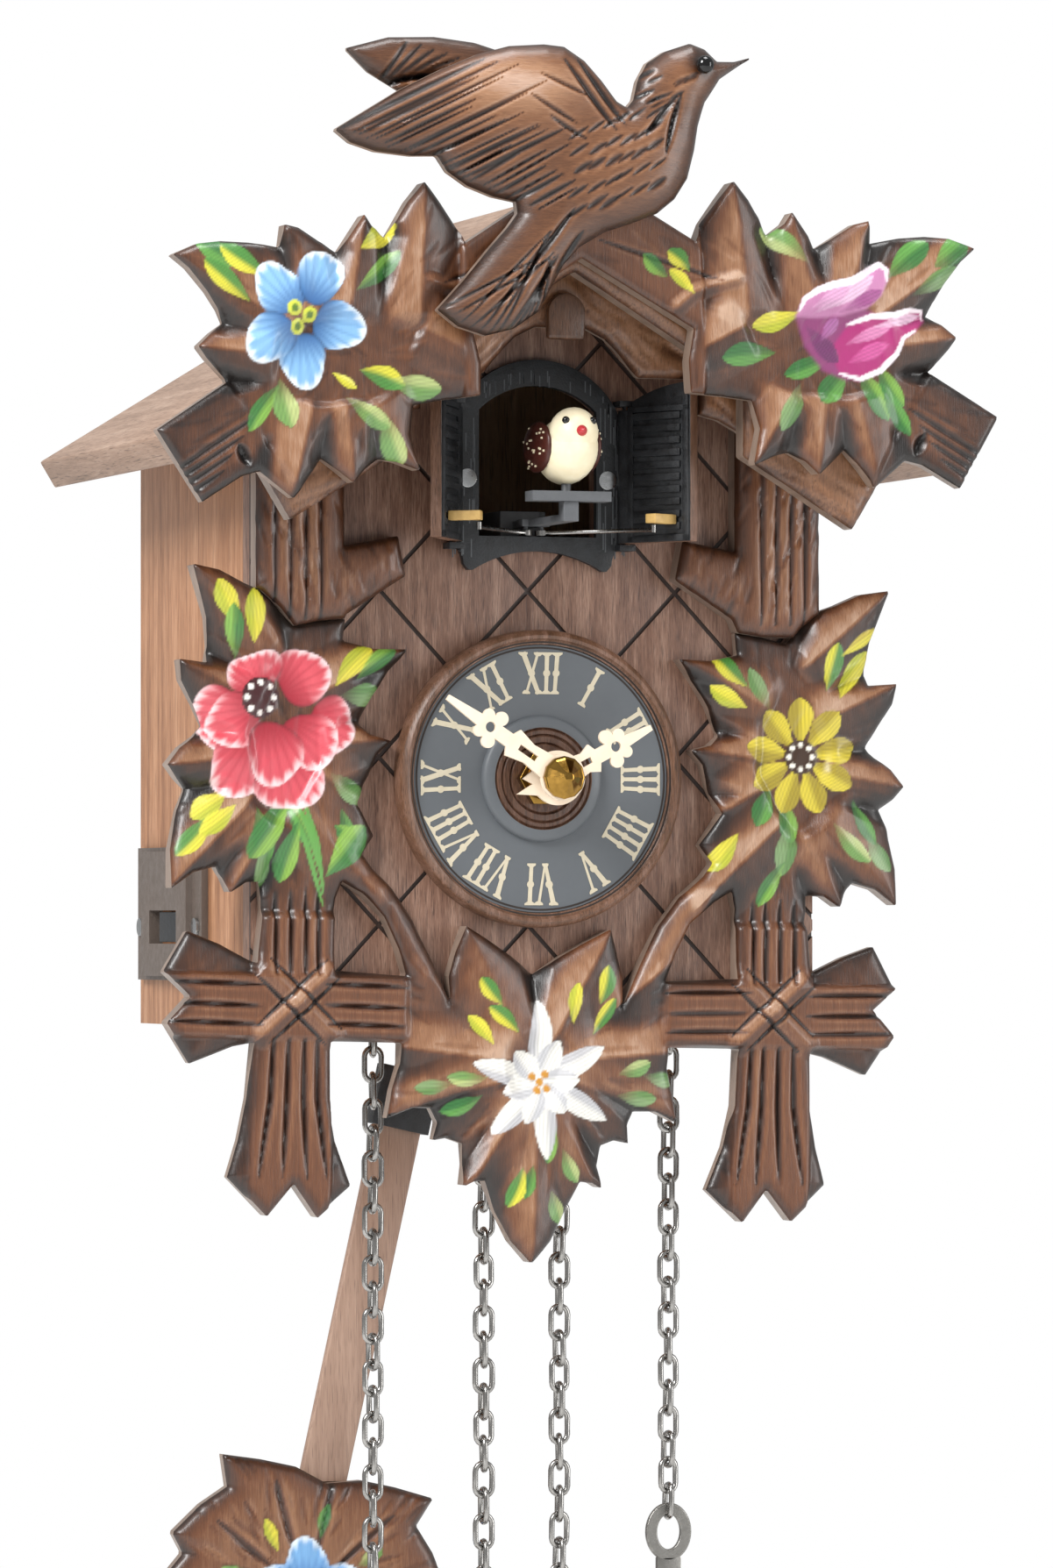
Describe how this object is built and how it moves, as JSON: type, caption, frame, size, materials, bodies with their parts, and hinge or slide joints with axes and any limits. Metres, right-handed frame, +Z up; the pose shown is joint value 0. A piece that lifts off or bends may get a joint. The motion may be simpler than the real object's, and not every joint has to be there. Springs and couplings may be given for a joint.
{
  "type": "cuckoo clock",
  "caption": "Chalet-style wall cuckoo clock: carved and painted leaves and bird, round dial, opening bird door, leaf pendulum, chains with pine-cone weights.",
  "frame": {"origin": "centre of the hanging hole, on the wall plane at the back of the case", "axes": "+X to the right seen from the front, +Z up, -Y the way the dial looks, away from the wall"},
  "size_m": [0.1679, 0.1157, 0.4],
  "materials": {
    "case_wood": "stained, satin varnish",
    "side_wood": "stained, satin varnish",
    "front_wood": "stained, satin varnish",
    "roof_wood": "stained, satin varnish",
    "carved_wood": "carved, dark stain with rubbed edges and painted flowers",
    "bird_wood": "carved, stained",
    "dark_wood": "dark stain",
    "dial_card": "grey dial with printed numerals",
    "cream_plastic": "moulded, satin",
    "black_plastic": "fine texture",
    "grey_plastic": "moulded",
    "plate_plastic": "grey-brown, moulded",
    "bird_plastic": "cream with painted wings and beak",
    "steel": "plated wire and sheet",
    "brass": "turned",
    "cone_cast": "cast pine cone, brown",
    "board_green": "circuit board",
    "cell_wrap": "printed wrap",
    "ochre_plastic": "moulded"
  },
  "bodies": {
    "case": {"back_board": "case_wood", "left_side": "side_wood", "right_side": "side_wood", "floor_board": "case_wood", "front_board": "front_wood", "roof_left": "roof_wood", "roof_right": "roof_wood", "bargeboards": "case_wood", "gable_valance": "case_wood", "valance_drop": "dark_wood", "hanger_plate": "brass", "small_screws": "steel", "corner_posts": "case_wood", "crown_carving": "carved_wood", "bird_carving": "bird_wood", "bird_far_wing": "dark_wood", "bird_eye": "black_plastic", "lower_carving": "carved_wood", "dial_ring": "case_wood", "dial_disc": "dial_card", "dial_boss": "front_wood", "movement_case": "black_plastic", "clamp_nut": "brass", "pendulum_bracket": "black_plastic", "door_frame": "black_plastic", "carriage_rail": "grey_plastic", "cuckoo_motor": "steel", "sound_board": "board_green", "loudspeaker": "black_plastic", "battery_holder": "black_plastic", "cells": "cell_wrap", "switch_plate": "plate_plastic", "chain_bar": "steel"},
    "minute": {"minute_hand": "cream_plastic", "hand_nut": "brass", "minute_shaft": "brass", "set_knob": "cream_plastic"},
    "hour": {"hour_hand": "cream_plastic", "hour_tube": "brass"},
    "pendulum": {"pendulum_leader": "cream_plastic", "pendulum_clip": "black_plastic", "pendulum_rod": "case_wood", "pendulum_bob": "carved_wood"},
    "carriage": {"carriage": "grey_plastic", "perch_bar": "grey_plastic", "cuckoo": "bird_plastic"},
    "left_door": {"left_door": "black_plastic", "left_link_block": "ochre_plastic"},
    "right_door": {"right_door": "black_plastic", "right_link_block": "ochre_plastic"},
    "left_wire": {"left_link_wire": "steel"},
    "right_wire": {"right_link_wire": "steel"},
    "pinion": {"drive_pinion": "grey_plastic"},
    "slider": {"switch_slider": "black_plastic"},
    "left_chain": {"left_chain": "steel", "pull_ring_left": "steel", "left_weight": "cone_cast"},
    "right_chain": {"right_chain": "steel", "pull_ring_right": "steel", "right_weight": "cone_cast"}
  },
  "joints": [
    {"name": "minute_turn", "type": "hinge", "parent": "case", "child": "minute", "pos_m": [0, -0.0905, -0.076], "axis": [0, 1, 0], "continuous": true},
    {"name": "hour_turn", "type": "hinge", "parent": "case", "child": "hour", "pos_m": [0, -0.0875, -0.076], "axis": [0, 1, 0], "continuous": true},
    {"name": "pendulum_swing", "type": "hinge", "parent": "case", "child": "pendulum", "pos_m": [0, -0.02, -0.0995], "axis": [0, 1, 0], "range_deg": [-25.2, 0]},
    {"name": "bird_slide", "type": "slide", "parent": "case", "child": "carriage", "axis": [0, 1, 0], "range_m": [0, 0.028]},
    {"name": "left_door_turn", "type": "hinge", "parent": "case", "child": "left_door", "pos_m": [-0.0172, -0.0783, -0.016], "axis": [0, 0, 1], "range_deg": [0, 120]},
    {"name": "right_door_turn", "type": "hinge", "parent": "case", "child": "right_door", "pos_m": [0.0172, -0.0783, -0.016], "axis": [0, 0, 1], "range_deg": [-120, 0]},
    {"name": "left_wire_turn", "type": "hinge", "parent": "carriage", "child": "left_wire", "pos_m": [-0.0016, -0.074, -0.0288], "axis": [0, 0, 1], "range_deg": [0, 33.7]},
    {"name": "right_wire_turn", "type": "hinge", "parent": "carriage", "child": "right_wire", "pos_m": [0.0016, -0.074, -0.0288], "axis": [0, 0, 1], "range_deg": [-33.7, 0]},
    {"name": "pinion_turn", "type": "hinge", "parent": "case", "child": "pinion", "pos_m": [0.0095, -0.03655, -0.026], "axis": [0, 0, 1], "range_deg": [-357, 0]},
    {"name": "switch_slide", "type": "slide", "parent": "case", "child": "slider", "axis": [0, 1, 0], "range_m": [0, 0.006]},
    {"name": "left_chain_swing", "type": "hinge", "parent": "case", "child": "left_chain", "pos_m": [0, -0.067, -0.114], "axis": [1, 0, 0], "range_deg": [-3, 3]},
    {"name": "right_chain_swing", "type": "hinge", "parent": "case", "child": "right_chain", "pos_m": [0, -0.067, -0.114], "axis": [1, 0, 0], "range_deg": [-3, 3]}
  ],
  "couplings": [
    {"joint": "hour_turn", "follows": "minute_turn", "ratio": 0.083333},
    {"joint": "left_door_turn", "follows": "bird_slide", "rad_per_m": 74.7},
    {"joint": "right_door_turn", "follows": "bird_slide", "rad_per_m": -74.7},
    {"joint": "left_wire_turn", "follows": "bird_slide", "rad_per_m": 20.9},
    {"joint": "right_wire_turn", "follows": "bird_slide", "rad_per_m": -20.9},
    {"joint": "pinion_turn", "follows": "bird_slide", "rad_per_m": -222.2}
  ]
}
